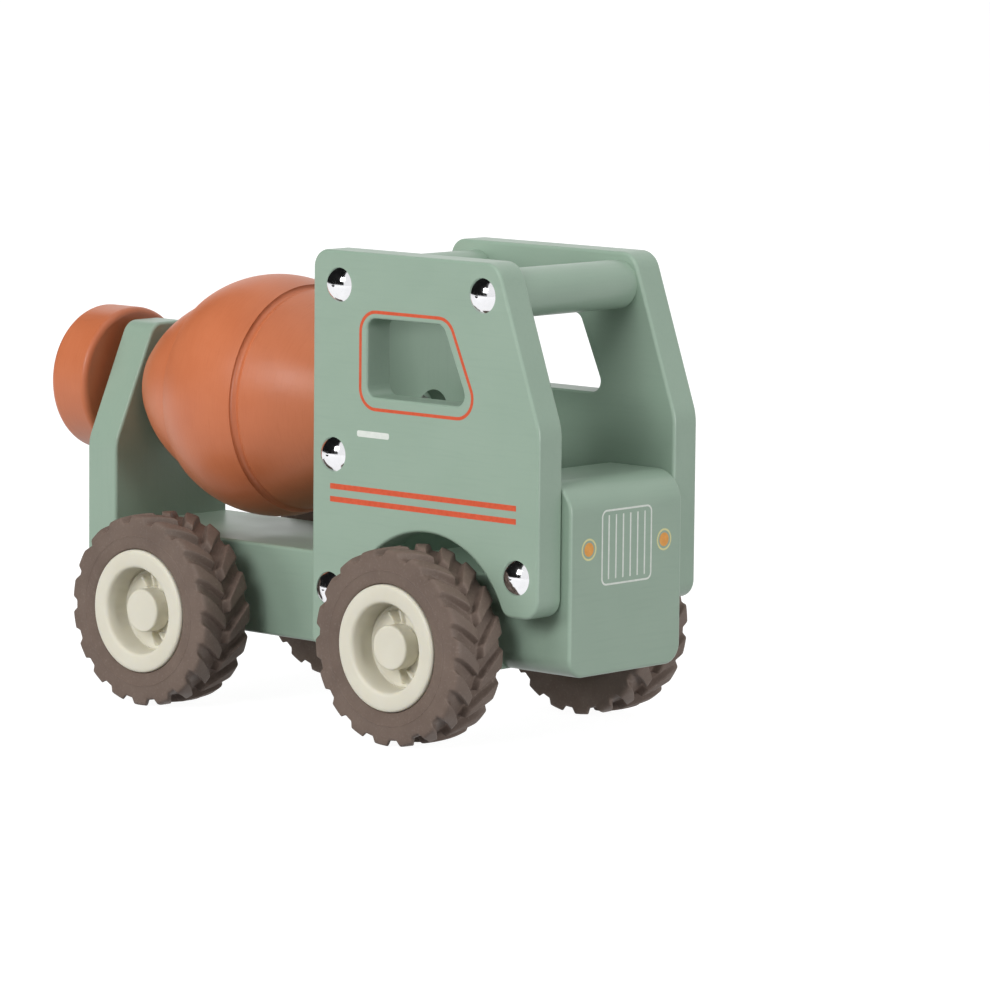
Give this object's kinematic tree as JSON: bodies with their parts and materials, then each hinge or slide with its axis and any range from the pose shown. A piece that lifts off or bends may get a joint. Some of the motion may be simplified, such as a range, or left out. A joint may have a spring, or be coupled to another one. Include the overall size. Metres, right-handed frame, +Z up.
{
  "type": "push along truck",
  "caption": "Wooden push along cement mixer truck with an open cab, a turned drum on a shaft that spins by its rear knob, and chunky tyred wheels on steel axles.",
  "frame": {"origin": "on the ground under the middle of the truck's length and width", "axes": "+X to the front of the truck, +Y to its left side, +Z up"},
  "size_m": [0.201, 0.0944, 0.1295],
  "materials": {
    "green_paint": "semi-gloss sage green paint on hardwood",
    "orange_paint": "semi-gloss terracotta orange paint on turned hardwood",
    "bare_wood": "plain sanded beech",
    "bright_chrome": "polished dome heads",
    "plain_steel": "drawn steel rod and plain screws",
    "nylon_washers": "natural nylon",
    "cream_plastic": "satin moulded cream plastic",
    "brown_rubber": "matt brown rubber"
  },
  "bodies": {
    "frame": {"chassis_beam": "green_paint", "hood_block": "green_paint", "hood_joining_pins": "bare_wood", "rear_plate": "green_paint", "rear_plate_screws": "plain_steel", "side_panel_right": "green_paint", "side_panel_left": "green_paint", "panel_screws_right": "bright_chrome", "panel_screws_left": "bright_chrome", "cab_rear_wall": "green_paint", "front_handle_dowel": "green_paint", "rear_top_dowel": "green_paint"},
    "front_axle_set": {"front_axle": "plain_steel", "front_axle_washers": "nylon_washers", "wheel_front_right_rim": "cream_plastic", "wheel_front_right_hub_cap": "cream_plastic", "wheel_front_right_tyre": "brown_rubber", "wheel_front_left_rim": "cream_plastic", "wheel_front_left_hub_cap": "cream_plastic", "wheel_front_left_tyre": "brown_rubber"},
    "rear_axle_set": {"rear_axle": "plain_steel", "rear_axle_washers": "nylon_washers", "wheel_rear_right_rim": "cream_plastic", "wheel_rear_right_hub_cap": "cream_plastic", "wheel_rear_right_tyre": "brown_rubber", "wheel_rear_left_rim": "cream_plastic", "wheel_rear_left_hub_cap": "cream_plastic", "wheel_rear_left_tyre": "brown_rubber"},
    "drum": {"drum_barrel": "orange_paint", "drum_shaft": "bare_wood", "drum_knob": "orange_paint", "knob_spacer": "nylon_washers", "drum_rear_spacer": "nylon_washers", "drum_front_spacer": "nylon_washers", "shaft_retaining_washer": "plain_steel", "shaft_retaining_screw": "plain_steel"}
  },
  "joints": [
    {"name": "front_axle_spin", "type": "hinge", "parent": "frame", "child": "front_axle_set", "pos_m": [0.0573, 0, 0.0266], "axis": [0, 1, 0], "continuous": true},
    {"name": "rear_axle_spin", "type": "hinge", "parent": "frame", "child": "rear_axle_set", "pos_m": [-0.0368, 0, 0.0266], "axis": [0, 1, 0], "continuous": true},
    {"name": "drum_spin", "type": "hinge", "parent": "frame", "child": "drum", "pos_m": [-0.029, 0, 0.0838], "axis": [1, 0, 0], "continuous": true}
  ]
}
